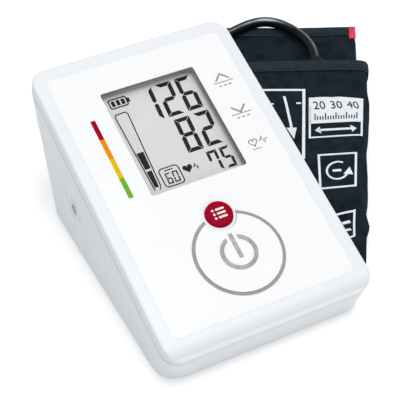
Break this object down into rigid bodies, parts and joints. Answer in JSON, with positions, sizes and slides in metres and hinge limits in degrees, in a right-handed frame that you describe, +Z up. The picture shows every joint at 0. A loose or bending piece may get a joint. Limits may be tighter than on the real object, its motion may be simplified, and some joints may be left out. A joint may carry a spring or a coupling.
{
  "type": "upper-arm blood pressure monitor",
  "caption": "Wedge-shaped tabletop blood pressure monitor with a tilted display, a red memory key, a round start key, and a folded cone cuff joined by an air hose.",
  "frame": {"origin": "on the table, straight under the middle of the monitor's front panel", "axes": "+Z up, +Y towards the monitor's back, +X to the right as seen by the user"},
  "size_m": [0.2085, 0.2169, 0.0691],
  "materials": {
    "white_shell": "satin",
    "white_panel": "gloss film",
    "red_key": "gloss",
    "grey_print": "printed film",
    "bright_metal": "polished film",
    "clear_window": "clear",
    "lcd_grey": "smooth",
    "grey_frame": "moulded",
    "black_rubber": "satin",
    "grey_rubber": "matt",
    "soft_tube": "silicone",
    "black_plastic": "moulded",
    "key_plastic": "moulded",
    "sensor_plastic": "moulded",
    "steel": "plated",
    "brass_pin": "turned",
    "cell_sleeve": "printed sleeve",
    "board_green": "solder mask",
    "dark_cloth": "woven nylon",
    "hem_cloth": "woven tape",
    "red_cloth": "woven tape"
  },
  "bodies": {
    "monitor": {"top_cover": "white_shell", "bottom_case": "white_shell", "dc_jack": "white_shell", "front_panel": "white_panel", "start_ring": "grey_print", "display_lens": "clear_window", "lcd_module": "lcd_grey", "lcd_frame": "grey_frame", "pump_head": "grey_frame", "air_manifold": "grey_frame", "hose_lead": "black_rubber", "hose_coil": "black_rubber", "hose_plug_end": "black_rubber", "cuff_port": "black_rubber", "lcd_connector": "black_rubber", "rubber_feet": "grey_rubber", "pump_cradle": "grey_rubber", "cuff_bladder": "grey_rubber", "pump_tube": "soft_tube", "sensor_tube": "soft_tube", "board_chips": "black_plastic", "tact_switches": "black_plastic", "air_plug": "black_plastic", "air_socket": "black_plastic", "hose_tie": "black_plastic", "pressure_sensor": "sensor_plastic", "case_screws": "steel", "board_screws": "steel", "pump_motor": "steel", "battery_springs": "steel", "battery_contacts": "steel", "release_valve": "steel", "battery_cells": "cell_sleeve", "circuit_board": "board_green", "cuff_sleeve": "dark_cloth", "cuff_flap": "dark_cloth", "sleeve_hem": "hem_cloth", "flap_hem": "hem_cloth", "cuff_tab": "red_cloth"},
    "memory_key": {"memory_button": "red_key", "memory_plunger": "key_plastic"},
    "start_key": {"start_button": "white_panel", "power_symbol": "bright_metal", "start_plunger": "key_plastic"},
    "battery_door": {"battery_cover": "white_shell"},
    "pump_rotor": {"pump_rotor": "steel"},
    "valve_pin": {"valve_plunger": "brass_pin"}
  },
  "joints": [
    {"name": "memory_press", "type": "slide", "parent": "monitor", "child": "memory_key", "axis": [0, 0.3173, -0.9483], "range_m": [0, 0.001], "stiffness_N_per_m": 800},
    {"name": "start_press", "type": "slide", "parent": "monitor", "child": "start_key", "axis": [0, 0.3173, -0.9483], "range_m": [0, 0.0008], "stiffness_N_per_m": 900},
    {"name": "battery_door_hinge", "type": "hinge", "parent": "monitor", "child": "battery_door", "pos_m": [0, 0.0307, 0.0025], "axis": [1, 0, 0], "range_deg": [0, 80]},
    {"name": "pump_spin", "type": "hinge", "parent": "monitor", "child": "pump_rotor", "pos_m": [0.024, 0.043, 0.02], "axis": [1, 0, 0], "continuous": true},
    {"name": "valve_travel", "type": "slide", "parent": "monitor", "child": "valve_pin", "axis": [0, 0, -1], "range_m": [0, 0.0015], "stiffness_N_per_m": 300}
  ]
}
